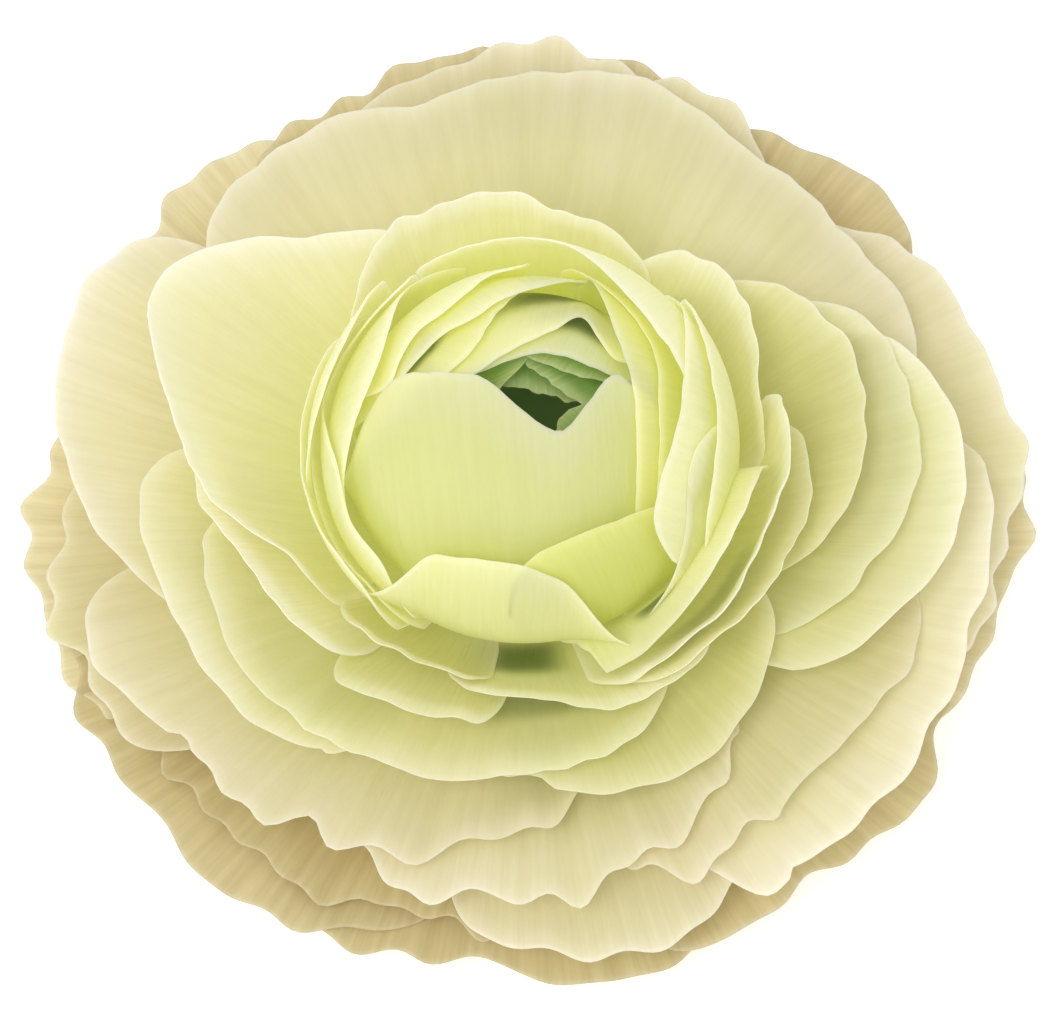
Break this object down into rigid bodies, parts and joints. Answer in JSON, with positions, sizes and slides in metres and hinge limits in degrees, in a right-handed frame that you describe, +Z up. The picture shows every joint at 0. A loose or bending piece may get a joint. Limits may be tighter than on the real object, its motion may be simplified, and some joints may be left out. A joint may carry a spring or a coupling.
{
  "type": "ranunculus bloom",
  "caption": "Double ranunculus bloom: a tight lime-green bud of wrapped petals inside rings of pale cream petals, on a short cut stem with green sepals.",
  "frame": {"origin": "on the surface that the bloom lies on, under the middle of the bloom and on the stem's axis, at the stem's cut end", "axes": "+Z up along the stem's axis towards the top of the bud; -Y towards the viewer of the picture; +X to the viewer's right"},
  "size_m": [0.0945, 0.0932, 0.0355],
  "materials": {
    "stem": "fresh green stem, faintly waxy",
    "sepals": "matt green leaf tissue",
    "eye_petals": "soft satin petal, deep green",
    "bud_petals": "soft satin petal, lime with pale rims",
    "inner_petals": "soft satin petal, lime with pale rims",
    "middle_petals": "soft satin petal, pale lime cream",
    "outer_petals": "soft satin petal, cream",
    "guard_petals": "soft matt petal, beige cream"
  },
  "bodies": {
    "root": {"stem_and_receptacle": "stem", "sepal_1": "sepals", "sepal_2": "sepals", "sepal_3": "sepals", "sepal_4": "sepals", "sepal_5": "sepals", "eye_petals": "eye_petals", "bud_petals": "bud_petals", "inner_petals": "inner_petals", "middle_petals": "middle_petals", "outer_petals": "outer_petals", "guard_petals": "guard_petals"}
  },
  "joints": []
}
